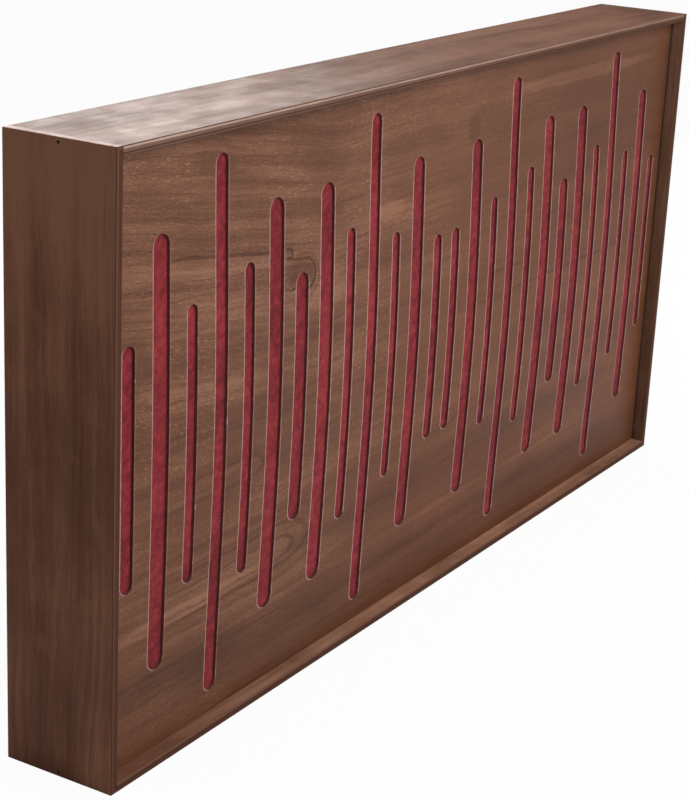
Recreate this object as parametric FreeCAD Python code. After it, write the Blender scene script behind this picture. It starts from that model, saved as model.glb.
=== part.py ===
import FreeCAD, Part
import os
from FreeCAD import Vector

# Wooden acoustic absorber panel: a shallow plywood box with a thin slotted face set back
# inside it, red felt behind the slots and mineral wool filling the box.
# Millimetres. X runs along the length, Z is up, and the slotted face looks towards -Y.
# The origin is the middle of the underside, where the panel stands.

# Box
frame_length = 1200.0
frame_height = 600.0
board_thickness = 9.0
edge_break = 0.5
edge_tolerance = 0.01

# Layers from the front edge of the box to its back
face_recess = 16.0
face_thickness = 3.0
felt_thickness = 1.0
slab_thickness = 50.0
slab_layers = 2
back_thickness = 3.0

# The thin face is held flat round its edges and the wool pushes its middle forward
face_crown = 6.5
crown_power_across = 10
crown_power_up = 2
crown_column_count = 25
crown_row_count = 11

# Slots: two groups side by side, each group the same read from either end.
# Each line is the slot's width and its distance from the top and bottom of the face.
slots_to_group_middle = [
    (17.0, 174.0),
    (23.0, 82.0),
    (15.0, 155.0),
    (19.0, 24.0),
    (16.0, 134.0),
    (24.0, 80.0),
    (22.0, 162.0),
]
slot_end_margin = 30.0
slot_middle_gap = 40.0

# Battens glued inside the box
batten_width = 15.0
batten_depth = 20.0

# Hanging rail across the top of the back, high enough for the plates above the back panel
rail_thickness = 18.0
rail_lap = 12.0
rail_margin = 3.5

# Keyhole plates let into the rail
plate_inset = 150.0
plate_width = 16.0
plate_length = 41.0
plate_thickness = 2.0
keyhole_entry_diameter = 9.0
keyhole_neck_width = 4.6
keyhole_neck_rise = 9.0
keyhole_drop = 5.0
plate_screw_margin = 5.0
head_pocket_depth = 10.0
head_pocket_margin = 1.5

# Countersunk screws of the plates
screw_diameter = 3.0
screw_head_diameter = 6.0
screw_head_depth = 1.5
screw_length = 16.0

# Staples of the back panel, driven flush
staple_crown = 10.0
staple_leg = 12.0
staple_wire_thickness = 0.7
staple_wire_width = 1.2
staple_row_count = 6
staple_side_count = 2

# Flat-wire brads through the side boards into the ends of the long boards
brad_width = 1.2
brad_thickness = 1.0
brad_length = 30.0
brad_sink = 1.0

# Clearances
face_clearance = 0.2
layer_clearance = 0.2
wool_clearance = 0.3
plate_clearance = 0.2
hole_clearance = 0.05

# Places worked out from the sizes above
frame_depth = (face_recess + face_thickness + felt_thickness
               + slab_layers * slab_thickness + back_thickness)
front_y = -frame_depth / 2
back_y = frame_depth / 2
inner_half = frame_length / 2 - board_thickness
inner_low = board_thickness
inner_high = frame_height - board_thickness
inner_middle = (inner_low + inner_high) / 2
face_front_y = front_y + face_recess
face_back_y = face_front_y + face_thickness
felt_back_y = face_back_y + felt_thickness
back_panel_y = back_y - back_thickness
rear_batten_y = back_panel_y - batten_depth
rail_front_y = back_y - rail_thickness
rail_low = inner_high - rail_lap - plate_length - 2 * rail_margin
back_panel_high = rail_low + rail_lap
plate_middle_z = (back_panel_high + inner_high) / 2
plate_front_y = back_y - plate_thickness
plate_x = frame_length / 2 - plate_inset
keyhole_entry_z = plate_middle_z - keyhole_drop
felt_half = inner_half - batten_width - face_clearance
felt_low = inner_low + batten_width + face_clearance
felt_high = inner_high - batten_width - face_clearance

os.makedirs("parts", exist_ok=True)


def save(name, shape):
    shape.exportStep("parts/" + name + ".step")
    print(name, "solids", len(shape.Solids), "valid", shape.isValid())


def block(x0, x1, y0, y1, z0, z1):
    return Part.makeBox(x1 - x0, y1 - y0, z1 - z0, Vector(x0, y0, z0))


def rod(diameter, start, direction, length):
    return Part.makeCylinder(diameter / 2, length, start, direction)


def stadium(x, z_low, z_high, width, y0, y1):
    """A straight round-ended bar along Y, upright in X and Z."""
    r = width / 2
    left_low = Vector(x - r, y0, z_low + r)
    left_high = Vector(x - r, y0, z_high - r)
    right_low = Vector(x + r, y0, z_low + r)
    right_high = Vector(x + r, y0, z_high - r)
    outline = Part.Wire([
        Part.makeLine(left_low, left_high),
        Part.Arc(left_high, Vector(x, y0, z_high), right_high).toShape(),
        Part.makeLine(right_high, right_low),
        Part.Arc(right_low, Vector(x, y0, z_low), left_low).toShape(),
    ])
    return Part.Face(outline).extrude(Vector(0, y1 - y0, 0))


def spread(count, low, high):
    step = (high - low) / (count - 1)
    return [low + k * step for k in range(count)]


# Crown of the face


def crown_rise(x, z):
    """How far the middle of the face stands forward of its flat edges."""
    across = min(1.0, abs(x) / inner_half)
    up = min(1.0, abs(z - inner_middle) / (inner_high - inner_middle))
    fall = (1 - across ** crown_power_across) * (1 - up ** crown_power_up)
    return face_crown * fall * fall


def crowned_skin(y):
    """The crowned surface whose flat edges lie at this depth."""
    grid = []
    for x in spread(crown_column_count, -inner_half, inner_half):
        grid.append([Vector(x, y - crown_rise(x, z), z)
                     for z in spread(crown_row_count, inner_low, inner_high)])
    surface = Part.BSplineSurface()
    surface.interpolate(grid)
    return surface.toShape()


def crowned_sheet(y, thickness, half, low, high):
    """A sheet of even thickness that follows the crown, trimmed to size."""
    sheet = crowned_skin(y).extrude(Vector(0, thickness, 0))
    return sheet.common(block(-half, half, front_y, back_y, low, high))


# Box boards


def brad_places():
    places = []
    for side in (-1, 1):
        for z in (board_thickness / 2, frame_height - board_thickness / 2):
            places.append((side, z))
    return places


def brad_blank(place, sink, gap):
    """A straight piece of flat wire driven in from the side, widened by a gap for its hole."""
    side, z = place
    outer = side * (frame_length / 2 - sink)
    inner = side * (frame_length / 2 - brad_sink - brad_length - gap)
    y = brad_thickness / 2 + gap
    half = brad_width / 2 + gap
    return block(min(outer, inner), max(outer, inner), -y, y, z - half, z + half)


def brad_hole(place):
    return brad_blank(place, 0, hole_clearance)


def joint_edge(edge, side):
    """True for the two end edges of a side board that lie on the corner joints."""
    middle = edge.CenterOfMass
    on_inner_face = abs(middle.x - side * inner_half) < edge_tolerance
    on_end = min(middle.z, frame_height - middle.z) < edge_tolerance
    return on_inner_face and on_end


def side_board(side):
    outer = side * frame_length / 2
    inner = side * inner_half
    board = block(min(outer, inner), max(outer, inner), front_y, back_y, 0, frame_height)
    eased = [edge for edge in board.Edges if not joint_edge(edge, side)]
    holes = [brad_hole(place) for place in brad_places() if place[0] == side]
    return board.makeChamfer(edge_break, eased).cut(holes)


def long_board(z0, z1):
    board = block(-inner_half, inner_half, front_y, back_y, z0, z1)
    long_edges = [edge for edge in board.Edges
                  if edge.BoundBox.XLength > inner_half]
    board = board.makeChamfer(edge_break, long_edges)
    return board.cut([brad_hole(place) for place in brad_places()])


# Slotted face and felt


def slot_list():
    """Middle, width, bottom and top of every slot, from left to right."""
    group = slots_to_group_middle + slots_to_group_middle[-2::-1]
    first = -inner_half + slot_end_margin
    last = -slot_middle_gap / 2
    slots = []
    for x, (width, margin) in zip(spread(len(group), first, last), group):
        slots.append((x, width, inner_low + margin, inner_high - margin))
    for x, width, low, high in reversed(slots[:]):
        slots.append((-x, width, low, high))
    return slots


def slotted_face():
    sheet = crowned_sheet(face_front_y, face_thickness, inner_half - face_clearance,
                          inner_low + face_clearance, inner_high - face_clearance)
    cutters = [stadium(x, low, high, width, front_y, felt_back_y)
               for x, width, low, high in slot_list()]
    return sheet.cut(cutters)


def felt():
    return crowned_sheet(face_back_y + layer_clearance, felt_thickness - layer_clearance,
                         felt_half, felt_low, felt_high)


# Battens and rail

side_names = {-1: "left", 1: "right"}


def batten_box(name, y0):
    """The space of one batten: full width at top and bottom, between them at the sides."""
    y1 = y0 + batten_depth
    if name == "bottom":
        return block(-inner_half, inner_half, y0, y1, inner_low, inner_low + batten_width)
    if name == "top":
        return block(-inner_half, inner_half, y0, y1, inner_high - batten_width, inner_high)
    x0 = -inner_half if name == "left" else inner_half - batten_width
    low = inner_low + batten_width
    high = inner_high - batten_width
    if y0 == rear_batten_y:
        high = rail_low
    return block(x0, x0 + batten_width, y0, y1, low, high)


def batten(name, row):
    if row == "front":
        return batten_box(name, face_back_y)
    return batten_box(name, rear_batten_y).cut([staple_hole(p) for p in staple_places()])


def rail_blank():
    """The rail with the lap along its lower edge that takes the back panel."""
    rail = block(-inner_half, inner_half, rail_front_y, back_y, rail_low, inner_high)
    lap = block(-inner_half, inner_half, back_panel_y, back_y, rail_low, back_panel_high)
    return rail.cut(lap)


def hanging_rail():
    rail = rail_blank()
    cutters = [screw_hole(place) for place in plate_screw_places()]
    cutters += [staple_hole(place) for place in staple_places()]
    for side in (-1, 1):
        x = side * plate_x
        half = plate_length / 2 + plate_clearance
        seat_width = plate_width + 2 * plate_clearance
        cutters.append(stadium(x, plate_middle_z - half, plate_middle_z + half,
                               seat_width, plate_front_y, back_y))
        low = keyhole_entry_z - keyhole_entry_diameter / 2 - head_pocket_margin
        high = keyhole_entry_z + keyhole_neck_rise + keyhole_entry_diameter / 2
        reach = keyhole_entry_diameter / 2 + head_pocket_margin
        cutters.append(block(x - reach, x + reach, plate_front_y - head_pocket_depth, back_y,
                             low, high))
    return rail.cut(cutters)


# Keyhole plates


def hanger_plate(side):
    x = side * plate_x
    half = plate_length / 2
    plate = stadium(x, plate_middle_z - half, plate_middle_z + half, plate_width,
                    plate_front_y, back_y)
    entry = rod(keyhole_entry_diameter, Vector(x, plate_front_y, keyhole_entry_z),
                Vector(0, 1, 0), plate_thickness)
    neck = stadium(x, keyhole_entry_z - keyhole_neck_width / 2,
                   keyhole_entry_z + keyhole_neck_rise + keyhole_neck_width / 2,
                   keyhole_neck_width, plate_front_y, back_y)
    screws = [screw_hole(place) for place in plate_screw_places()]
    return plate.cut([entry.fuse(neck)] + screws)


# Screws


def plate_screw_places():
    places = []
    for side in (-1, 1):
        for end in (-1, 1):
            z = plate_middle_z + end * (plate_length / 2 - plate_screw_margin)
            places.append(Vector(side * plate_x, back_y, z))
    return places


def screw_blank(place, gap):
    """A countersunk screw turned about its own axis, widened by a gap for its hole."""
    head = screw_head_diameter / 2 + gap
    shank = screw_diameter / 2 + gap
    outline = Part.makePolygon([
        Vector(0, 0, 0),
        Vector(head, 0, 0),
        Vector(shank, -screw_head_depth - gap, 0),
        Vector(shank, -screw_length - gap, 0),
        Vector(0, -screw_length - gap, 0),
        Vector(0, 0, 0),
    ])
    turned = Part.Face(outline).revolve(Vector(0, 0, 0), Vector(0, 1, 0), 360)
    turned.translate(place)
    return turned


def screw_hole(place):
    return screw_blank(place, hole_clearance)


# Back panel and its staples


def staple_places():
    """Middle of each staple's crown, and whether the crown stands upright."""
    low = inner_low + batten_width / 2
    high = back_panel_high - rail_lap / 2
    reach = inner_half - batten_width / 2
    first = reach - staple_crown
    places = [(x, z, False) for z in (low, high)
              for x in spread(staple_row_count, -first, first)]
    for z in spread(staple_side_count + 2, low, high)[1:-1]:
        places += [(-reach, z, True), (reach, z, True)]
    return places


def staple_blank(place, gap):
    """A flat-wire staple whose crown is flush with the back, widened by a gap for its hole."""
    x, z, upright = place
    half = staple_crown / 2 + gap
    inside = staple_crown / 2 - staple_wire_thickness - gap
    under = -staple_wire_thickness - gap
    tip = -staple_leg - gap
    width = staple_wire_width / 2 + gap
    outline = Part.makePolygon([
        Vector(-half, 0, -width),
        Vector(half, 0, -width),
        Vector(half, tip, -width),
        Vector(inside, tip, -width),
        Vector(inside, under, -width),
        Vector(-inside, under, -width),
        Vector(-inside, tip, -width),
        Vector(-half, tip, -width),
        Vector(-half, 0, -width),
    ])
    blank = Part.Face(outline).extrude(Vector(0, 0, 2 * width))
    if upright:
        blank.rotate(Vector(0, 0, 0), Vector(0, 1, 0), 90)
    blank.translate(Vector(x, back_y, z))
    return blank


def staple_hole(place):
    return staple_blank(place, hole_clearance)


def back_panel():
    panel = block(-inner_half + face_clearance, inner_half - face_clearance,
                  back_panel_y, back_y, inner_low + face_clearance,
                  back_panel_high - face_clearance)
    return panel.cut([staple_hole(place) for place in staple_places()])


# Wool


def wool_outline(y0, y1):
    return block(-inner_half + wool_clearance, inner_half - wool_clearance, y0, y1,
                 inner_low + wool_clearance, inner_high - wool_clearance)


def grown(box, gap):
    b = box.BoundBox
    return block(b.XMin - gap, b.XMax + gap, b.YMin - gap, b.YMax + gap,
                 b.ZMin - gap, b.ZMax + gap)


def wool_slab(layer):
    """One slab, notched where the battens and the rail press into its edges."""
    y0 = felt_back_y + layer * slab_thickness
    y1 = y0 + slab_thickness
    if layer == 0:
        y0 = y0 + layer_clearance
        swell = crowned_skin(y0).extrude(Vector(0, face_crown + slab_thickness, 0))
        slab = swell.common(wool_outline(front_y, y1))
    else:
        slab = wool_outline(y0, y1)
    if layer == slab_layers - 1:
        slab = slab.common(wool_outline(front_y, y1 - wool_clearance))
    notches = [batten_box(name, face_back_y) for name in ("bottom", "top", "left", "right")]
    notches += [batten_box(name, rear_batten_y) for name in ("bottom", "left", "right")]
    notches.append(rail_blank())
    return slab.cut([grown(notch, wool_clearance) for notch in notches])


# Build every piece

for side, name in side_names.items():
    save(name + "_side_board", side_board(side))
save("bottom_board", long_board(0, board_thickness))
save("top_board", long_board(inner_high, frame_height))

save("slotted_face_panel", slotted_face())
save("felt_cloth", felt())

for name in ("bottom", "top", "left", "right"):
    save("front_batten_" + name, batten(name, "front"))
for name in ("bottom", "left", "right"):
    save("rear_batten_" + name, batten(name, "rear"))

for layer in range(slab_layers):
    save("wool_slab_" + str(layer + 1), wool_slab(layer))

save("hanging_rail", hanging_rail())
for side, name in side_names.items():
    save("hanger_plate_" + name, hanger_plate(side))
save("back_panel", back_panel())

save("hanger_screws", Part.makeCompound([screw_blank(p, 0) for p in plate_screw_places()]))
save("back_panel_staples", Part.makeCompound([staple_blank(p, 0) for p in staple_places()]))

brads = [brad_blank(place, brad_sink, 0) for place in brad_places()]
save("corner_brads", Part.makeCompound(brads))
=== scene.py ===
import math
import bpy
import numpy as np
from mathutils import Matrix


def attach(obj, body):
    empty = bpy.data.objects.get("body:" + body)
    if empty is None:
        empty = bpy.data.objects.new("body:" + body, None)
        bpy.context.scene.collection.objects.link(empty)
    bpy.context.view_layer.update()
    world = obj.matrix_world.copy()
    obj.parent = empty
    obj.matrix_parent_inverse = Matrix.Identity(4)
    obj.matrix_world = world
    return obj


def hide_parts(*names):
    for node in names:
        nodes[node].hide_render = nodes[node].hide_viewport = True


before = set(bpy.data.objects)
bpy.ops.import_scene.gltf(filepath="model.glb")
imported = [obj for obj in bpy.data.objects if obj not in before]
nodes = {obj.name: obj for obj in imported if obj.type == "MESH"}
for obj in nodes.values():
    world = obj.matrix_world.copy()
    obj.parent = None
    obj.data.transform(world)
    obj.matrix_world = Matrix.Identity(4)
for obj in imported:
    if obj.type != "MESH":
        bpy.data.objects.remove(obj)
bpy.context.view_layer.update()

# Looks of a slotted acoustic absorber panel: stained plywood box, thin slotted face,
# red felt behind the slots, mineral wool inside. Metres, slotted face towards -Y.

mm = 0.001
print("frame loaded,", len(nodes), "nodes")


def srgb(red, green, blue):
    # colour given 0 to 255, made linear
    values = np.array([red, green, blue]) / 255
    linear = np.where(values <= 0.04045, values / 12.92, ((values + 0.055) / 1.055) ** 2.4)
    return (*[float(v) for v in linear], 1.0)


# Shader tools

class Term:
    # one value in a material; + - * / and ** on it add Math nodes
    def __init__(self, finish, socket):
        self.finish = finish
        self.socket = socket

    def math(self, operation, *others):
        return self.finish.term("ShaderNodeMath", {"operation": operation}, [self, *others])

    def __add__(self, other):
        return self.math("ADD", other)

    def __sub__(self, other):
        return self.math("SUBTRACT", other)

    def __mul__(self, other):
        return self.math("MULTIPLY", other)

    def __truediv__(self, other):
        return self.math("DIVIDE", other)

    def __pow__(self, other):
        return self.math("POWER", other)

    def __rsub__(self, other):
        return self.finish.term("ShaderNodeMath", {"operation": "SUBTRACT"}, [other, self])

    def __rtruediv__(self, other):
        return self.finish.term("ShaderNodeMath", {"operation": "DIVIDE"}, [other, self])

    __radd__ = __add__
    __rmul__ = __mul__


class Finish:
    # one material and its nodes
    def __init__(self, name):
        self.material = bpy.data.materials.new(name)
        self.material.use_nodes = True
        self.tree = self.material.node_tree
        self.tree.nodes.clear()
        self.output = self.node("ShaderNodeOutputMaterial")
        place = self.node("ShaderNodeTexCoord")
        self.place = place.outputs["Object"]
        apart = self.node("ShaderNodeSeparateXYZ", {}, [self.place])
        self.x, self.y, self.z = [Term(self, o) * 1000 for o in apart.outputs]  # in mm
        facing = self.node("ShaderNodeSeparateXYZ", {}, [place.outputs["Normal"]])
        self.faceX, self.faceY, self.faceZ = [Term(self, o) for o in facing.outputs]

    def node(self, kind, settings=None, inputs=None):
        made = self.tree.nodes.new(kind)
        for key, value in (settings or {}).items():
            if key == "stops":  # a ramp's places and colours
                ramp = made.color_ramp.elements
                while len(ramp) < len(value):
                    ramp.new(0.5)
                for element, (place, colour) in zip(ramp, value):
                    element.position = place
                    element.color = colour
            else:
                setattr(made, key, value)
        given = inputs or {}
        pairs = given.items() if isinstance(given, dict) else enumerate(given)
        for key, value in pairs:
            if isinstance(value, Term):
                value = value.socket
            if isinstance(value, bpy.types.NodeSocket):
                self.tree.links.new(value, made.inputs[key])
            else:
                made.inputs[key].default_value = value
        return made

    def term(self, kind, settings=None, inputs=None, output=0):
        return Term(self, self.node(kind, settings, inputs).outputs[output])

    def point(self, x, y, z=0.0):
        return self.node("ShaderNodeCombineXYZ", {}, [x, y, z]).outputs[0]

    def noise(self, vector, scale=1.0, detail=2.0, roughness=0.5, distortion=0.0):
        return self.term("ShaderNodeTexNoise", {}, {
            "Vector": vector, "Scale": scale, "Detail": detail,
            "Roughness": roughness, "Distortion": distortion})

    def step(self, value, low, high):  # smooth rise from 0 at low to 1 at high
        return self.term("ShaderNodeMapRange", {"interpolation_type": "SMOOTHSTEP"}, {
            "Value": value, "From Min": low, "From Max": high})

    def mix(self, factor, first, second, blend="MIX"):
        return self.node("ShaderNodeMix", {"data_type": "RGBA", "blend_type": blend},
                         {0: factor, 6: first, 7: second}).outputs[2]

    def ramp(self, factor, stops):
        return self.node("ShaderNodeValToRGB", {"stops": stops}, {"Fac": factor}).outputs[0]

    def bump(self, height, distance, strength=1.0):
        return self.node("ShaderNodeBump", {}, {
            "Height": height, "Distance": distance, "Strength": strength}).outputs[0]

    def surface(self, colour, roughness, normal=None, **fixed):
        inputs = {"Base Color": colour, "Roughness": roughness}
        if normal is not None:
            inputs["Normal"] = normal
        inputs.update({key.replace("_", " "): value for key, value in fixed.items()})
        shader = self.node("ShaderNodeBsdfPrincipled", {}, inputs)
        self.tree.links.new(shader.outputs[0], self.output.inputs["Surface"])
        return self.material


def addObject(name, data):
    made = bpy.data.objects.new(name, data)
    bpy.context.scene.collection.objects.link(made)
    return made


def dress(names, material):
    for name in names:
        materials = nodes[name].data.materials
        materials.clear()
        materials.append(material)


# Veneer and plywood edges

def veneer(finish, along, across, offset, values):
    # tone from 0 dark to 1 pale: growth bands that wander, pores and short pale flecks.
    # along and across are the places on the sheet in mm
    drift = finish.noise(finish.point(along / values["driftLength"],
                                      across / values["driftWidth"], offset), 1.0, 2.0) - 0.5
    ripple = finish.noise(finish.point(along / 55, across / 24, offset + 7), 1.0, 2.0) - 0.5
    level = across + drift * values["drift"] + ripple * values["ripple"]
    broad = finish.noise(finish.point(along / 700, level / values["band"], offset), 1.0, 3.0, 0.6)
    fine = finish.noise(finish.point(along / 220, level / 4.5, offset + 3), 1.0, 3.0, 0.65)
    fibre = finish.noise(finish.point(along / 26, level / 0.8, offset + 5), 1.0, 2.0, 0.6)
    cloud = finish.noise(finish.point(along / 130, across / 75, offset + 11), 1.0, 3.0, 0.55)
    tone = (broad - 0.5) * values["broad"] + (fine - 0.5) * values["fine"]
    tone = tone + (fibre - 0.5) * values["fibre"] + (cloud - 0.5) * values["cloud"] + 0.5
    ring = (level / values["ring"] + broad * 3).math("FRACT")
    line = finish.step(ring, 0.86, 0.97) * finish.step(cloud, 0.38, 0.6)
    tone = tone - line * values["line"]
    fleck = finish.noise(finish.point(along / 7, level / 1.3, offset + 17), 1.0, 1.0)
    fleck = finish.step(fleck, 0.6, 0.7) * (finish.step(cloud, 0.4, 0.6) * 0.7 + 0.3)
    pore = finish.noise(finish.point(along / 5, level / 0.5, offset + 23), 1.0, 1.0)
    pore = finish.step(pore, 0.62, 0.72)
    tone = tone + fleck * values["fleck"] - pore * values["pore"]
    return tone, pore


def plies(finish, depth, along, values):
    # dark and pale layers across a board's edge; depth is from its outer face in mm
    wave = finish.noise(finish.point(along / 60, depth / 3, 2.0), 1.0, 2.0) - 0.5
    layer = depth + wave * 0.5
    whole = values["thickness"]
    stops = [(place / whole, (tone, tone, tone, 1)) for place, tone in values["layers"]]
    tone = finish.term("ShaderNodeSeparateColor", {}, [finish.ramp(layer / whole, stops)])
    grit = finish.noise(finish.point(along / 1.5, depth / 0.6, 5.0), 1.0, 2.0)
    return tone + (grit - 0.5) * 0.25


boardValues = {
    "driftLength": 420, "driftWidth": 90, "drift": 46, "ripple": 5, "band": 34,
    "broad": 1.2, "fine": 0.6, "fibre": 0.5, "cloud": 1.0,
    "ring": 17, "line": 0.12, "fleck": 0.12, "pore": 0.16,
    "dark": srgb(74, 43, 28), "middle": srgb(98, 60, 41), "pale": srgb(126, 84, 62),
    "edgeDark": srgb(64, 34, 18), "edgePale": srgb(192, 158, 143), "edgeBrown": srgb(104, 70, 54),
    "nailHoleAndShade": srgb(22, 12, 8), "rough": 0.5, "thickness": 9.0,
    "nailInset": 4.5, "nailRim": (1.1, 1.9), "faceCornerShade": (-49, -46.5),
    # place across the edge in mm and tone, from the outer face inwards
    "layers": [(0.0, 0.05), (0.7, 0.05), (1.1, 0.85), (2.5, 0.82), (3.0, 0.24), (5.6, 0.2),
               (6.0, 0.0), (6.7, 0.0), (7.1, 0.15), (9.0, 0.14)],
}


def boardFinish(name, grain, outward, outer, offset, edge, edgePale, inside,
                paintedLight=(1.0, 0.0), dull=0.0, paleArris=0.0, lip=0.0):
    # grain "x" or "z" is the way the outer veneer runs, outward the axis through the board.
    # edge gives how much the pale layers show at the low and high end of the grain, and inside
    # gives a painted-light tint for the side that looks into the box there. The painted-light
    # argument lightens the veneer round a place along it. Towards the high end, dull roughens it
    # and the arris argument lightens the edges' outer layer as a painted highlight; lip lightens
    # their inner layer. These layers turn the corners as in a mitred box.
    values = boardValues
    finish = Finish(name)
    along = finish.x if grain == "x" else finish.z
    tone, pore = veneer(finish, along, finish.y, offset, values)
    low, high = (-600, 600) if grain == "x" else (0, 600)
    share = (along - low) / (high - low)
    # painted light: the veneer is made paler round one place along the board
    tone = tone + (1 - finish.step((share - paintedLight[0]).math("ABSOLUTE"), 0, 0.45)) * paintedLight[1]
    colour = finish.ramp(tone, [(0.1, values["dark"]), (0.5, values["middle"]),
                                (0.92, values["pale"])])
    patch = finish.noise(finish.point(along / 38, finish.y / 26, offset), 1.0, 3.0, 0.6)
    colour = finish.mix(finish.step(patch, 0.5, 0.75) * 0.3, colour, values["pale"])
    through = finish.x if outward == "x" else finish.z
    depth = (through - outer).math("ABSOLUTE")
    lightTint = finish.mix(finish.step(share, 0.1, 0.5), *inside)
    inner = finish.step(depth, values["thickness"] - 0.5, values["thickness"] - 0.1)
    colour = finish.mix(inner, colour, finish.mix(1.0, colour, lightTint, "MULTIPLY"))
    nearest = (600 - finish.x.math("ABSOLUTE")).math("MINIMUM", 600 - finish.z)
    nearest = nearest.math("MINIMUM", finish.z)
    edgeTone = plies(finish, nearest, along, values) * (share * (edge[1] - edge[0]) + edge[0])
    edgeTone = edgeTone * (patch * 0.8 + 0.6)
    # painted highlight: the edges' outer arris grows paler towards the high end
    edgeTone = edgeTone.math("MAXIMUM", (1 - finish.step(nearest, 0.8, 1.2)) * share * paleArris)
    edgeTone = edgeTone + finish.step(nearest, 6.2, 7.2) * lip
    edgeColour = finish.mix(edgeTone, values["edgeDark"], edgePale)
    onEdge = finish.step(finish.faceY.math("ABSOLUTE"), 0.3, 0.6)
    colour = finish.mix(onEdge, colour, edgeColour)
    if outward == "x":  # nail holes at both ends, and painted shade where the slotted face meets the board
        above = (finish.z - 300).math("ABSOLUTE") - (300 - values["nailInset"])
        nail = 1 - finish.step((finish.y * finish.y + above * above) ** 0.5, *values["nailRim"])
        colour = finish.mix(nail, colour, values["nailHoleAndShade"])
        # painted shade: the nail-hole colour darkens the inner side next to the slotted face
        corner = finish.step(finish.y, *values["faceCornerShade"]) * inner * 0.6
        colour = finish.mix(corner, colour, values["nailHoleAndShade"])
    rough = values["rough"] + (tone - 0.5) * -0.12 + (patch - 0.5) * 0.3 + onEdge * 0.15
    rough = rough + finish.step(share, 0.05, 0.75) * dull
    normal = finish.bump(tone * 0.4 - pore, 0.00004)
    return finish.surface(colour, rough, normal, IOR=1.48, Specular_IOR_Level=0.15)


# painted light and shade: tints of the inner sides for how they are lit: none, the right board's,
# and the bottom board's at its two ends
plain, shade = (1.0, 1.0, 1.0, 1.0), (1.2, 1.55, 1.8, 1.0)
lit, litFar = (1.35, 1.6, 1.9, 1.0), (2.4, 3.2, 3.9, 1.0)
brown, bright = boardValues["edgeBrown"], boardValues["edgePale"]
# painted light: the side boards' edges darken towards the bottom and the bottom board's edges stay
# darkest, as light from above falls off; the left board is also paler towards the top
dress(["left_side_board"], boardFinish("leftBoardStain", "z", "x", -600, 1.3, (0.4, 0.75),
                                       brown, (plain, plain), paintedLight=(1.0, 0.45)))
dress(["right_side_board"], boardFinish("rightBoardStain", "z", "x", 600, 8.1, (0.4, 0.7),
                                        brown, (shade, shade)))
# painted sheen: the top board's veneer is paler round its right-middle, and its edges' outer arris
# pales towards the right as a painted highlight
dress(["top_board"], boardFinish("topBoardStain", "x", "z", 600, 15.7, (0.85, 0.35), bright,
                                 (plain, plain), paintedLight=(0.72, 0.35), dull=0.3, paleArris=0.3))
dress(["bottom_board"], boardFinish("bottomBoardStain", "x", "z", 0, 22.9, (0.1, 0.2),
                                    brown, (lit, litFar), lip=0.8))
print("box boards stained")


# Slotted face

faceValues = {
    "innerHalf": 591.0, "innerLow": 9.0, "innerHigh": 591.0, "gap": 0.2,
    "front": -45.5, "thickness": 3.0, "crown": 6.5, "acrossPower": 10, "upPower": 2,
    "slots": [(17, 174), (23, 82), (15, 155), (19, 24), (16, 134), (24, 80), (22, 162)],
    "endMargin": 30.0, "middleGap": 40.0, "arris": 0.5,
    "driftLength": 620, "driftWidth": 110, "drift": 26, "ripple": 7, "band": 26,
    "broad": 0.8, "fine": 0.5, "fibre": 0.4, "cloud": 0.6,
    "ring": 21, "line": 0.14, "fleck": 0.32, "pore": 0.2, "speck": 0.45,
    "dark": srgb(71, 41, 26), "middle": srgb(99, 62, 42), "pale": srgb(133, 93, 71),
    "wornEdgeAndGlint": srgb(180, 145, 139), "wallDark": srgb(62, 36, 30), "wallFeltBounce": srgb(128, 62, 60),
    "warm": (1.05, 0.93, 0.82, 1.0), "junctionShade": srgb(72, 51, 41), "rough": 0.45,
    # place, size and change of tone of the veneer's own marks
    "marks": [((54, 524), (13, 17), -0.13), ((70, 540), (10, 7), -0.08),
              ((-130, 462), (34, 10), 0.2), ((-250, 405), (40, 24), 0.16),
              ((-430, 436), (150, 7), 0.14), ((-470, 136), (150, 8), 0.26),
              ((-450, 186), (140, 5), 0.16), ((-420, 366), (160, 11), 0.12),
              ((330, 552), (190, 8), 0.2), ((-60, 90), (420, 4), 0.16),
              ((110, 138), (320, 30), -0.16), ((-480, 60), (190, 34), -0.1),
              ((60, 40), (560, 32), -0.12), ((300, 318), (260, 1.6), -0.2),
              ((-200, 560), (260, 16), -0.12), ((350, 140), (200, 60), 0.07)],
    # nested arcs: tip, middle height, half height, stretch, reach, tone inside, tone of the line
    "leaves": [(-290, 147, 12, 2.6, 300, 0.14, -0.2), (-262, 150, 23, 2.6, 330, 0.0, -0.2),
               (-235, 152, 37, 2.2, 360, 0.0, -0.12), (-325, 444, 0.6, 1.4, 260, 0.0, -0.36),
               (-309, 441, 4.5, 1.2, 14, -0.1, -0.6), (-268, 420, 15, 1.1, 60, -0.26, -0.6),
               (-262, 418, 22, 1.1, 50, 0.0, -0.2),
               (-350, 250, 10, 3.0, 240, 0.08, -0.14), (205, 330, 16, 2.0, 160, 0.05, -0.16),
               (60, 210, 26, 1.6, 120, 0.0, -0.14)],
    # fall is painted light: the face grows lighter towards the top
    "fall": 0.1, "tilt": 0.14, "offset": 4.2,
}


def crownRise(x, z):
    # height of the crown in mm: (1 - |x/half|^10)^2 times (1 - (distance from mid height/half)^2)^2
    values = faceValues
    middle = (values["innerLow"] + values["innerHigh"]) / 2
    up = np.minimum(1, np.abs(z - middle) / (values["innerHigh"] - middle))
    across = np.minimum(1, np.abs(x) / values["innerHalf"])
    fall = (1 - across ** values["acrossPower"]) * (1 - up ** values["upPower"])
    return values["crown"] * fall ** 2


def slotTable():
    # middle, width, bottom and top of the 26 slots, left to right, as one array
    values = faceValues
    group = np.array(values["slots"] + values["slots"][-2::-1], float)
    middles = np.linspace(-values["innerHalf"] + values["endMargin"],
                          -values["middleGap"] / 2, len(group))
    left = np.stack([middles, group[:, 0], values["innerLow"] + group[:, 1],
                     values["innerHigh"] - group[:, 1]], axis=1)
    right = left[::-1] * [-1, 1, 1, 1]
    return np.concatenate([left, right])


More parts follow.
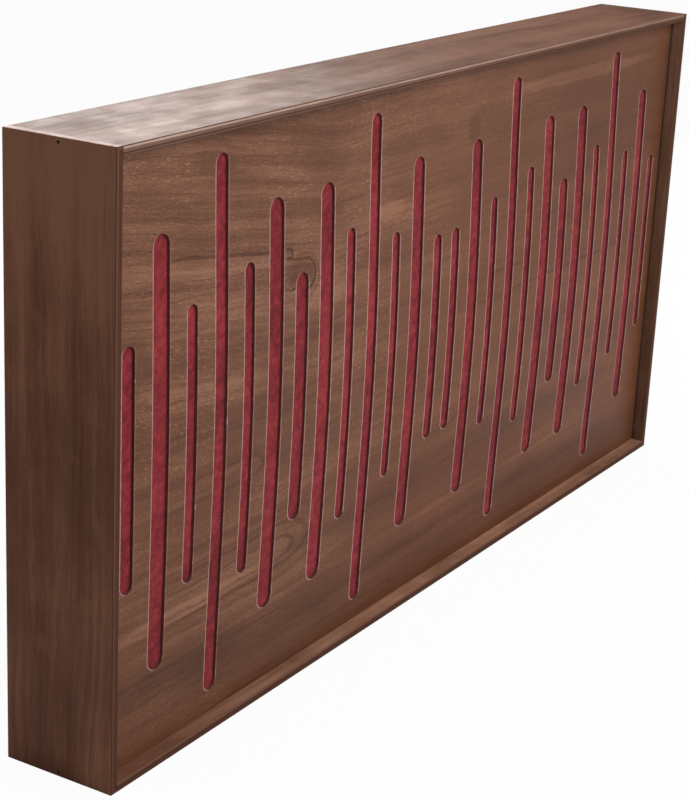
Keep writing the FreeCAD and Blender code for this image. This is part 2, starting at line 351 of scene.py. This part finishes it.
def makeMesh(name, points, faces, attributes=None, sharp=None):
    # points in mm, faces as lists of corners, one value for each point in an attribute, and
    # edges sharp past an angle in degrees
    mesh = bpy.data.meshes.new(name)
    mesh.from_pydata((points * mm).tolist(), [], faces)
    for key, values in (attributes or {}).items():
        layer = mesh.attributes.new(key, "FLOAT", "POINT")
        layer.data.foreach_set("value", values.astype(np.float32))
    mesh.polygons.foreach_set("use_smooth", np.ones(len(mesh.polygons), bool))
    mesh.update()
    if sharp:
        mesh.set_sharp_from_angle(angle=math.radians(sharp))
    return addObject(name, mesh)


def bands(index):
    # the quads between neighbouring rows of a closed grid of points, and its two end loops
    after = np.roll(index, -1, axis=1)
    quads = np.stack([index[:-1], after[:-1], after[1:], index[1:]], -1).reshape(-1, 4)
    return quads.tolist() + [index[0][::-1].tolist(), index[-1].tolist()]


def mergePoints(points, faces, attributes):
    # points that lie within a thousandth of a mm become one, and collapsed faces go
    keys = np.round(points * 1000).astype(np.int64)
    unused, first, back = np.unique(keys, axis=0, return_index=True, return_inverse=True)
    back = back.reshape(-1)
    faces = back[faces]
    whole = np.ones(len(faces), bool)
    for k in range(4):
        whole &= faces[:, k] != faces[:, (k + 1) % 4]
    kept = {key: values[first] for key, values in attributes.items()}
    return points[first], faces[whole], kept


def slottedFace():
    # One cell per slot. Round each slot runs a loop of points, and rings carry that loop from the
    # cell's border in to the slot's rim, over its worn arris, down the wall and out along the back.
    values = faceValues
    slots = slotTable()
    x, width, low, high = [slots[:, k:k + 1] for k in range(4)]
    half = values["innerHalf"] - values["gap"]
    bottom, top = values["innerLow"] + values["gap"], values["innerHigh"] - values["gap"]
    borders = np.concatenate([[-half], (slots[1:, 0] + slots[:-1, 0]) / 2, [half]])
    left, right = borders[:-1, None], borders[1:, None]

    # heights along a cell's upright sides, closer together where slots end
    ends = np.linspace(bottom, 190, 46)
    rows = np.concatenate([ends, np.linspace(190, 410, 19)[1:-1], (bottom + top - ends)[::-1]])
    cross = np.linspace(0, 1, 11)[:-1]
    upright, level = np.ones(len(rows) - 1), np.ones(len(cross))
    one = np.ones_like(x)
    # the cell's border: up the right side, back along the top, down the left, along the bottom
    borderX = np.concatenate([right * upright, right + (left - right) * cross,
                              left * upright, left + (right - left) * cross], 1)
    borderZ = np.concatenate([one * rows[:-1], one * top * level,
                              one * rows[:0:-1], one * bottom * level], 1)
    part = np.repeat(np.arange(4), [len(upright), len(level)] * 2)
    onRight, onTop, onLeft, onBottom = [part == k for k in range(4)]

    def rim(offset):
        # round-ended outline grown by an offset, one point for each point of the border:
        # level with it beside the straight part, and turned round the end's centre beyond it
        r = width / 2
        highCentre, lowCentre = high - r, low + r
        reach = r + offset
        overTop = top - highCentre
        path = np.where(onRight, borderZ - highCentre, 0)
        path = np.where(onTop, overTop + right - borderX, path)
        path = np.where(onLeft, overTop + right - left + top - borderZ, path)
        turnHigh = math.pi * path / (2 * overTop + right - left)
        upper = onTop | ((onRight | onLeft) & (borderZ > highCentre))
        underLow = lowCentre - bottom
        path = np.where(onLeft, lowCentre - borderZ, 0)
        path = np.where(onBottom, underLow + borderX - left, path)
        path = np.where(onRight, underLow + right - left + borderZ - bottom, path)
        turnLow = math.pi + math.pi * path / (2 * underLow + right - left)
        lower = onBottom | ((onRight | onLeft) & (borderZ < lowCentre))
        rimX, rimZ = x + reach * np.where(onRight, 1.0, -1.0), borderZ
        for bent, turn, centre in ((upper, turnHigh, highCentre), (lower, turnLow, lowCentre)):
            rimX = np.where(bent, x + reach * np.cos(turn), rimX)
            rimZ = np.where(bent, centre + reach * np.sin(turn), rimZ)
        return rimX, rimZ

    # the arris is paled most where it looks towards +X, and away from the left end of the face:
    # wear with a painted highlight on it
    edgeX, edgeZ = rim(1.0)
    innerX, innerZ = rim(0.0)
    upward = innerZ - edgeZ
    aside = 0.12 + 0.88 * (innerX - edgeX) + np.where(upward > 0, 0.05, 0.4) * upward
    middle = np.clip((x + 480) / 240, 0, 1)
    aside = np.clip(aside, np.where(innerX > x + width * 0.45, 0.25 + 0.3 * middle, 0.06), 1)
    aside = aside * (0.7 + 0.3 * middle)
    # painted shadow: at the slots' bottom ends the arris takes the dark wall colour
    dark = np.clip((upward - 0.35) * 2, 0, 1) * 0.2
    none = np.zeros(borderX.shape)
    arris, thickness = values["arris"], values["thickness"]
    rings = []  # x, z, depth behind the front skin, wear and painted highlight of the arris, wall (with painted shadow at the slots' bottom ends)
    nearX, nearZ = rim(3.0)
    for share in (0.0, 0.35, 0.7, 1.0):
        rings.append((borderX + (nearX - borderX) * share, borderZ + (nearZ - borderZ) * share,
                      0.0, none, 0.0))
    rings.append((*rim(1.7), 0.0, none, 0.0))
    rings.append((*rim(1.2), 0.0, aside * 0.75, 0.0))
    for angle in (0, 30, 60, 90):
        turned = math.radians(angle)
        rings.append((*rim(arris * (1 - math.sin(turned))), arris * (1 - math.cos(turned)),
                      aside, dark))
    rings.append((innerX, innerZ, arris + 0.3, none, 0.15))
    rings.append((innerX, innerZ, thickness, none, 1.0))
    for share in (0.5, 1.0):
        rings.append((innerX + (borderX - innerX) * share, innerZ + (borderZ - innerZ) * share,
                      thickness, none, 0.0))

    cells, loop, count = len(slots), borderX.shape[1], len(rings)
    points = np.zeros((count, cells, loop, 3))
    wear = np.zeros((count, cells, loop))
    wall = np.zeros((count, cells, loop))
    for k, (ringX, ringZ, depth, paleArris, inside) in enumerate(rings):
        points[k, ..., 0] = ringX
        points[k, ..., 1] = values["front"] + depth - crownRise(ringX, ringZ)
        points[k, ..., 2] = ringZ
        wear[k], wall[k] = paleArris, inside
    index = np.arange(count * cells * loop).reshape(count, cells, loop)
    after = np.roll(index, -1, axis=2)
    skin = np.stack([index[:-1], index[1:], after[1:], after[:-1]], -1).reshape(-1, 4)
    # the sheet's own edge, from the front border ring to the back one
    outer = np.tile(onTop | onBottom, (cells, 1))
    outer[0] |= onLeft
    outer[-1] |= onRight
    rimFaces = np.stack([index[0], after[0], after[-1], index[-1]], -1)[outer]
    faces = np.concatenate([skin, rimFaces])
    points, faces, kept = mergePoints(points.reshape(-1, 3), faces,
                                      {"wear": wear.reshape(-1), "wall": wall.reshape(-1)})
    return makeMesh("slottedFace", points, faces.tolist(), kept, sharp=50)


def mark(finish, level, at, size):
    # 1 inside a soft ellipse on the face, falling to 0 outside
    across = (finish.x - at[0]) / size[0]
    up = (level - at[1]) / size[1]
    return 1 - finish.step(across * across + up * up, 0.35, 1.6)


def leaf(finish, level, tip, middle, half, stretch, reach, inside, line):
    # Distance from a level line that ends near the leaf's tip, with distances past its end
    # counted less: a loop at one distance is a long leaf's outline, open towards -X.
    past = (finish.x - (tip - half * stretch)).math("MAXIMUM", 0) / stretch
    up = level - middle
    loop = (past * past + up * up) ** 0.5
    outline = 1 - finish.step((loop - half).math("ABSOLUTE"), 0.5, 1.6 + half * 0.06)
    fade = finish.step(finish.x, tip - reach, tip - reach * 0.5)
    return ((1 - finish.step(loop, half * 0.6, half)) * inside + outline * line) * fade


def faceFinish():
    values = faceValues
    finish = Finish("faceVeneer")
    # towards the upper left the grain drops a little to the right
    tilt = (finish.x + 230).math("MINIMUM", 0) * finish.step(finish.z, 200, 430)
    left = 1 - finish.step(finish.x, -300, 100)
    strength = left * (finish.step(finish.z, 150, 450) * 0.5 + 0.3) + 0.5
    slanted = finish.z + tilt * values["tilt"]
    tone, pore = veneer(finish, finish.x, slanted, values["offset"], values)
    speck = finish.noise(finish.point(finish.x / 3.5, finish.z / 1.4, 31.0), 1.0, 2.0, 0.6)
    tone = (tone - 0.5) * strength + (speck - 0.5) * values["speck"] + 0.5
    wander = finish.noise(finish.point(finish.x / 50, finish.z / 22, 9.0), 1.0, 3.0) - 0.5
    figure = slanted + wander * 7
    for at, size, change in values["marks"]:
        tone = tone + mark(finish, figure, at, size) * change
    for shape in values["leaves"]:
        tone = tone + leaf(finish, figure, *shape)
    # painted light: the face lighter towards the top, as light from above falls off
    tone = tone + (finish.z - 300) / 300 * values["fall"]
    tone = tone - finish.step(finish.x, -50, 320) * (finish.step(finish.z, 250, 480) * 0.16 + 0.05)
    colour = finish.ramp(tone, [(0.08, values["dark"]), (0.5, values["middle"]),
                                (0.95, values["pale"])])
    warm = finish.step(finish.x, -330, 60) * (1 - finish.step(finish.z, 330, 560))
    colour = finish.mix(warm, colour, finish.mix(1.0, colour, values["warm"], "MULTIPLY"))
    shadeMargin = 1 - finish.step(591 - finish.x.math("ABSOLUTE"), 2, 16)
    colour = finish.mix(shadeMargin * 0.5, colour, values["junctionShade"])  # painted shade beside the side boards
    wear, wall = [finish.term("ShaderNodeAttribute", {"attribute_name": name}, {}, "Fac")
                  for name in ("wear", "wall")]
    chips = finish.noise(finish.point(finish.x / 3, finish.z / 9, 1.0), 1.0, 3.0, 0.7)
    # the arris pales with wear and chips, and with a painted highlight where it faces +X
    paleArris = wear * (finish.step(chips, 0.28, 0.5) * 0.7 + 0.3)
    chipped = finish.step(chips, 0.6, 0.66) * finish.step(wear, 0.05, 0.2)
    paleArris = paleArris.math("MAXIMUM", chipped * 0.8)
    feltBounce = finish.step(wall, 0.25, 0.5)  # painted red bounce light from the felt on the deeper part of the slot walls
    fuzz = finish.noise(finish.point(finish.x / 4, finish.z / 3, finish.y))
    wallColour = finish.mix(feltBounce * fuzz * 1.3, values["wallDark"], values["wallFeltBounce"])
    onWall = finish.step(wall, 0.02, 0.1)
    colour = finish.mix(onWall, colour, wallColour)
    colour = finish.mix(paleArris, colour, values["wornEdgeAndGlint"])
    normal = finish.bump(tone * 0.5 - pore, 0.00012)
    rough = values["rough"] + (tone - 0.5) * -0.1 + onWall * 0.25
    return finish.surface(colour, rough, normal, IOR=1.48, Specular_IOR_Level=0.18)


face = slottedFace()
face.data.materials.append(faceFinish())
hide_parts("slotted_face_panel")
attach(face, "root")
print("slotted face", len(face.data.polygons), "faces")


# Felt behind the slots

feltValues = {
    "half": 575.8, "low": 24.2, "high": 575.8, "front": -42.3, "thickness": 0.8,
    "base": srgb(116, 31, 36), "dark": srgb(84, 17, 22), "bright": srgb(142, 48, 54),
}


def feltSheet():
    # front and back grids of a sheet that follows the crown, joined round the edge
    values = feltValues
    front, thickness = values["front"], values["thickness"]
    gridX, gridZ = np.meshgrid(np.linspace(-values["half"], values["half"], 145),
                               np.linspace(values["low"], values["high"], 73), indexing="ij")
    rise = crownRise(gridX, gridZ)
    layers = np.stack([np.stack([gridX, front - rise, gridZ], -1),
                       np.stack([gridX, front + thickness - rise, gridZ], -1)])
    index = np.arange(layers[..., 0].size).reshape(layers.shape[:3])
    a, b = index
    frontFaces = np.stack([a[:-1, :-1], a[1:, :-1], a[1:, 1:], a[:-1, 1:]], -1).reshape(-1, 4)
    backFaces = np.stack([b[:-1, :-1], b[:-1, 1:], b[1:, 1:], b[1:, :-1]], -1).reshape(-1, 4)
    edge = np.concatenate([a[:, 0], a[-1, 1:], a[-2::-1, -1], a[0, -2:0:-1]])
    far = np.concatenate([b[:, 0], b[-1, 1:], b[-2::-1, -1], b[0, -2:0:-1]])
    rim = np.stack([edge, far, np.roll(far, -1), np.roll(edge, -1)], -1)
    faces = np.concatenate([frontFaces, backFaces, rim])
    return makeMesh("feltSheet", layers.reshape(-1, 3), faces.tolist(), sharp=50)


def feltFinish():
    values = feltValues
    finish = Finish("redFelt")
    swirl = finish.noise(finish.place, 45, 3.0, 0.6)
    place = finish.point(finish.x + swirl * 18, finish.y, finish.z + swirl * 14)
    clump = finish.noise(place, 0.11, 4.0, 0.65)
    fibre = finish.noise(place, 0.55, 3.0, 0.7, 1.5)
    hair = finish.noise(place, 2.2, 2.0, 0.6)
    cloud = finish.noise(finish.place, 9, 2.0)
    tone = (clump - 0.5) * 1.5 + (fibre - 0.5) * 1.0 + (hair - 0.5) * 0.8
    tone = tone + (cloud - 0.5) * 1.0 + 0.5
    colour = finish.ramp(tone, [(0.12, values["dark"]), (0.5, values["base"]),
                                (0.9, values["bright"])])
    normal = finish.bump(fibre * 0.6 + hair * 0.4, 0.0006)
    return finish.surface(colour, 0.93, normal, Sheen_Weight=0.08, Sheen_Roughness=0.5,
                          Specular_IOR_Level=0.1)


felt = feltSheet()
felt.data.materials.append(feltFinish())
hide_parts("felt_cloth")
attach(felt, "root")
print("felt stretched")


# Mineral wool

woolValues = {
    "corner": 7.0, "uneven": 0.35, "inset": 0.5,
    "deep": srgb(120, 104, 60), "base": srgb(168, 150, 96), "bright": srgb(196, 182, 132),
}


def woolSlab(name, profile, crowned):
    # Rounded-rectangle loops carried from the slab's front to its back. profile lists
    # (depth, left-right half, bottom, top) and each loop's front and back close to the middle.
    values = woolValues
    profile = np.array(profile, float)
    turn = np.linspace(0, 2 * math.pi, 240, endpoint=False)
    power = 0.09  # near 0 the loop is almost a rectangle
    unitX = np.sign(np.cos(turn)) * np.abs(np.cos(turn)) ** power
    unitZ = np.sign(np.sin(turn)) * np.abs(np.sin(turn)) ** power
    closing = np.linspace(0.02, 0.97, 14)
    shares = np.concatenate([closing, np.ones(len(profile)), closing[::-1]])
    rows = np.concatenate([profile[[0] * 14], profile, profile[[-1] * 14]])
    depth, half, low, high = [rows[:, k:k + 1] for k in range(4)]
    share = shares[:, None]
    x = unitX * half * share
    z = (low + high) / 2 + unitZ * (high - low) / 2 * share
    swell = crownRise(x, z) * (1 - np.clip((depth - profile[0, 0]) / 25, 0, 1)) if crowned else 0
    bumps = np.sin(x / 23 + z / 31) * np.sin(z / 17 - x / 41) * values["uneven"]
    inner = (share < 1) * np.where(np.arange(len(rows))[:, None] < 20, 1.0, -1.0)
    y = depth - swell + (bumps + values["uneven"]) * inner
    points = np.stack([x, y, z], -1).reshape(-1, 3)
    return makeMesh(name, points, bands(np.arange(x.size).reshape(x.shape)))


def woolFinish():
    values = woolValues
    finish = Finish("mineralWool")
    layer = finish.noise(finish.point(finish.x / 30, finish.y / 3, finish.z / 30), 1.0, 3.0)
    strand = finish.noise(finish.place, 700, 4.0, 0.7, 2.0)
    clump = finish.noise(finish.place, 60, 3.0, 0.6)
    tone = (layer - 0.5) * 0.6 + (strand - 0.5) * 0.9 + (clump - 0.5) * 0.8 + 0.5
    colour = finish.ramp(tone, [(0.15, values["deep"]), (0.5, values["base"]),
                                (0.9, values["bright"])])
    normal = finish.bump(strand + layer * 0.5, 0.0012)
    return finish.surface(colour, 0.95, normal, Specular_IOR_Level=0.1)


woolMaterial = woolFinish()
frontSlab = woolSlab("woolFrontSlab", [
    (-40.8, 573, 27, 573), (-38, 575, 25, 575), (-24, 575, 25, 575), (-19, 580, 18, 582),
    (-15, 590, 10, 590), (4, 590, 10, 590), (8.2, 588, 12, 588)], True)
rearSlab = woolSlab("woolRearSlab", [
    (8.9, 588, 12, 588), (12, 590, 10, 590), (32, 590, 10, 590), (35, 584, 16, 560),
    (37, 575, 25, 532), (39, 575, 25, 530), (55, 575, 25, 530), (57.9, 573, 27, 528)], False)
for slab, node in ((frontSlab, "wool_slab_1"), (rearSlab, "wool_slab_2")):
    slab.data.materials.append(woolMaterial)
    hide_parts(node)
    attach(slab, "root")
print("wool slabs laid in")


# Battens, rail and back panel

softwoodValues = {"pale": srgb(214, 184, 140), "late": srgb(172, 128, 82), "rough": 0.6}
backValues = {"dark": srgb(112, 84, 60), "middle": srgb(142, 110, 80), "pale": srgb(160, 128, 96)}


def softwoodFinish(name, grain, offset):
    # grain is the axis that the batten runs along
    values = softwoodValues
    finish = Finish(name)
    along, one = (finish.x, finish.z) if grain == "x" else (finish.z, finish.x)
    drift = finish.noise(finish.point(along / 300, one / 40, finish.y / 40), 1.0, 2.0) - 0.5
    level = one * 0.8 + finish.y * 0.6 + drift * 14 + offset
    ring = (level / 3.4).math("FRACT")
    late = finish.step(ring, 0.45, 0.9) * (1 - finish.step(ring, 0.93, 1.0))
    fibre = finish.noise(finish.point(along / 18, one / 0.5, finish.y / 0.5), 1.0, 2.0)
    tone = late * 0.7 + (fibre - 0.5) * 0.5
    colour = finish.mix(tone.math("MAXIMUM", 0), values["pale"], values["late"])
    normal = finish.bump(fibre + late * 0.4, 0.00018)
    return finish.surface(colour, values["rough"] - late * 0.1, normal, Specular_IOR_Level=0.35)


def backFinish():
    values = backValues
    finish = Finish("backBoard")
    chip = finish.noise(finish.place, 420, 4.0, 0.7)
    cloud = finish.noise(finish.place, 7, 3.0)
    flake = finish.noise(finish.point(finish.x / 3, finish.z / 1.4, 3.0), 1.0, 2.0)
    tone = (chip - 0.5) * 0.9 + (cloud - 0.5) * 0.5 + (flake - 0.5) * 0.5 + 0.5
    colour = finish.ramp(tone, [(0.15, values["dark"]), (0.5, values["middle"]),
                                (0.88, values["pale"])])
    normal = finish.bump(chip, 0.00015)
    return finish.surface(colour, 0.55 + (cloud - 0.5) * 0.2, normal, Specular_IOR_Level=0.4)


dress(["front_batten_bottom", "front_batten_top", "rear_batten_bottom", "hanging_rail"],
      softwoodFinish("softwoodLong", "x", 0.0))
dress(["front_batten_left", "front_batten_right", "rear_batten_left", "rear_batten_right"],
      softwoodFinish("softwoodUpright", "z", 5.0))
dress(["back_panel"], backFinish())
print("battens, rail and back finished")


# Steel plates, staples, brads and screws

steelValues = {"base": srgb(186, 188, 190), "dull": srgb(150, 150, 148), "rough": 0.32}
screwValues = {
    "places": [(side * 450, z) for side in (-1, 1) for z in (551.5, 582.5)],
    "back": 61.5, "head": 3.0, "shank": 1.5, "coneDepth": 1.5, "length": 16.0,
    "recessReach": 1.7, "recessWidth": 0.42, "recessDepth": 1.1, "sink": 0.05,
}


def steelFinish():
    values = steelValues
    finish = Finish("zincSteel")
    streak = finish.noise(finish.point(finish.x / 0.8, finish.y / 0.8, finish.z / 14), 1.0, 3.0)
    patch = finish.noise(finish.place, 160, 3.0, 0.6)
    colour = finish.mix(patch, values["base"], values["dull"])
    rough = values["rough"] + (streak - 0.5) * 0.2 + (patch - 0.5) * 0.2
    normal = finish.bump(streak, 0.00003)
    return finish.surface(colour, rough, normal, Metallic=1.0)


def plateScrews():
    # Each screw is a profile turned about its axis: radius and depth along it, closed at both
    # ends. The cross recess pushes the head's points down inside two crossed bars.
    values = screwValues
    turn = np.linspace(0, 2 * math.pi, 48, endpoint=False)
    head, shank, length = values["head"], values["shank"], values["length"]
    rings = 14  # across the head's flat top
    radii = np.array([*np.linspace(0.02, head - 0.1, rings), head - 0.02, shank, shank, 0.9, 0.02])
    depths = np.array([*np.zeros(rings), 0.12, values["coneDepth"], length - 1.5, length - 0.1,
                       length])
    x = radii[:, None] * np.cos(turn)
    z = radii[:, None] * np.sin(turn)
    width, reach = values["recessWidth"], values["recessReach"]
    arm = np.maximum(np.clip((width - np.abs(x)) / 0.15, 0, 1) * (np.abs(z) < reach),
                     np.clip((width - np.abs(z)) / 0.15, 0, 1) * (np.abs(x) < reach))
    arm[rings:] = 0
    fall = 1 - (radii[:, None] / reach).clip(0, 1) ** 2 * 0.6
    y = values["back"] - values["sink"] - (depths[:, None] + arm * fall * values["recessDepth"])
    points, faces = [], []
    for number, (placeX, placeZ) in enumerate(values["places"]):
        points.append(np.stack([placeX + x, y, placeZ + z], -1).reshape(-1, 3))
        faces += bands(np.arange(x.size).reshape(x.shape) + number * x.size)
    return makeMesh("plateScrews", np.concatenate(points), faces, sharp=35)


steel = steelFinish()
dress(["hanger_plate_left", "hanger_plate_right", "back_panel_staples", "corner_brads"], steel)
screws = plateScrews()
screws.data.materials.append(steel)
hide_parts("hanger_screws")
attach(screws, "root")
print("steel parts finished")


# Floor, lights and camera

studioValues = {
    "floorHalf": 14.0, "floor": (0.8, 0.8, 0.8, 1.0), "floorGlow": 0.95, "ambient": 0.42,
    "keyPlace": (0.1, -2.7, 2.1), "keyAim": (0, 0, 0.35), "keySize": 2.0, "keyPower": 92.0,
    "sheenPlace": (1.65, 1.96, 1.26), "sheenAim": (-0.6, 0, 0.6), "sheenSize": 1.6,
    "sheenPower": 50.0, "sheenColour": (1.0, 0.93, 0.88),
    "cameraPlace": (-1.87324, -1.05475, 0.93115),
    "cameraTurn": (71.38698, -2.59231, -58.12409), "lens": 89.5749,
}


def makeFloor():
    half = studioValues["floorHalf"]
    mesh = bpy.data.meshes.new("floor")
    mesh.from_pydata([(-half, -half, 0), (half, -half, 0), (half, half, 0), (-half, half, 0)],
                     [], [(0, 1, 2, 3)])
    floor = addObject("floor", mesh)
    finish = Finish("paleFloor")
    path = finish.node("ShaderNodeLightPath")
    seen = Term(finish, path.outputs["Is Camera Ray"]) * studioValues["floorGlow"]
    matt = finish.node("ShaderNodeBsdfDiffuse", {}, {"Color": studioValues["floor"]})
    glow = finish.node("ShaderNodeEmission", {}, {"Strength": 1.0})
    both = finish.node("ShaderNodeMixShader", {}, [seen, matt.outputs[0], glow.outputs[0]])
    finish.tree.links.new(both.outputs[0], finish.output.inputs["Surface"])
    mesh.materials.append(finish.material)


def makeWorld():
    world = bpy.data.worlds.new("studio")
    world.use_nodes = True
    bpy.context.scene.world = world
    tree = world.node_tree
    tree.nodes.clear()
    path = tree.nodes.new("ShaderNodeLightPath")
    both = tree.nodes.new("ShaderNodeMixShader")
    tree.links.new(path.outputs["Is Camera Ray"], both.inputs[0])
    for socket, strength in ((1, studioValues["ambient"]), (2, 1.0)):  # light, then backdrop
        white = tree.nodes.new("ShaderNodeBackground")
        white.inputs["Color"].default_value = (1, 1, 1, 1)
        white.inputs["Strength"].default_value = strength
        tree.links.new(white.outputs[0], both.inputs[socket])
    output = tree.nodes.new("ShaderNodeOutputWorld")
    tree.links.new(both.outputs[0], output.inputs["Surface"])


def makeLamp(name, place, aim, size, power, colour=(1.0, 1.0, 1.0)):
    lamp = bpy.data.lights.new(name, "AREA")
    lamp.shape = "SQUARE"
    lamp.size = size
    lamp.energy = power
    lamp.color = colour
    made = addObject(name, lamp)
    made.location = place
    towards = np.array(aim) - np.array(place)
    made.rotation_euler = (math.atan2(math.hypot(towards[0], towards[1]), -towards[2]), 0,
                           math.atan2(towards[1], towards[0]) - math.pi / 2)
    made.visible_camera = False


makeFloor()
makeWorld()
makeLamp("keyLamp", studioValues["keyPlace"], studioValues["keyAim"], studioValues["keySize"],
         studioValues["keyPower"])
makeLamp("sheenLamp", studioValues["sheenPlace"], studioValues["sheenAim"],
         studioValues["sheenSize"], studioValues["sheenPower"], studioValues["sheenColour"])

camera = addObject("camera", bpy.data.cameras.new("camera"))
camera.location = studioValues["cameraPlace"]
camera.rotation_euler = [math.radians(angle) for angle in studioValues["cameraTurn"]]
camera.data.sensor_fit = "VERTICAL"
camera.data.sensor_height = 36.0
camera.data.lens = studioValues["lens"]
camera.data.clip_end = 60.0
bpy.context.scene.camera = camera
bpy.context.scene.view_settings.view_transform = "Standard"
print("studio set")
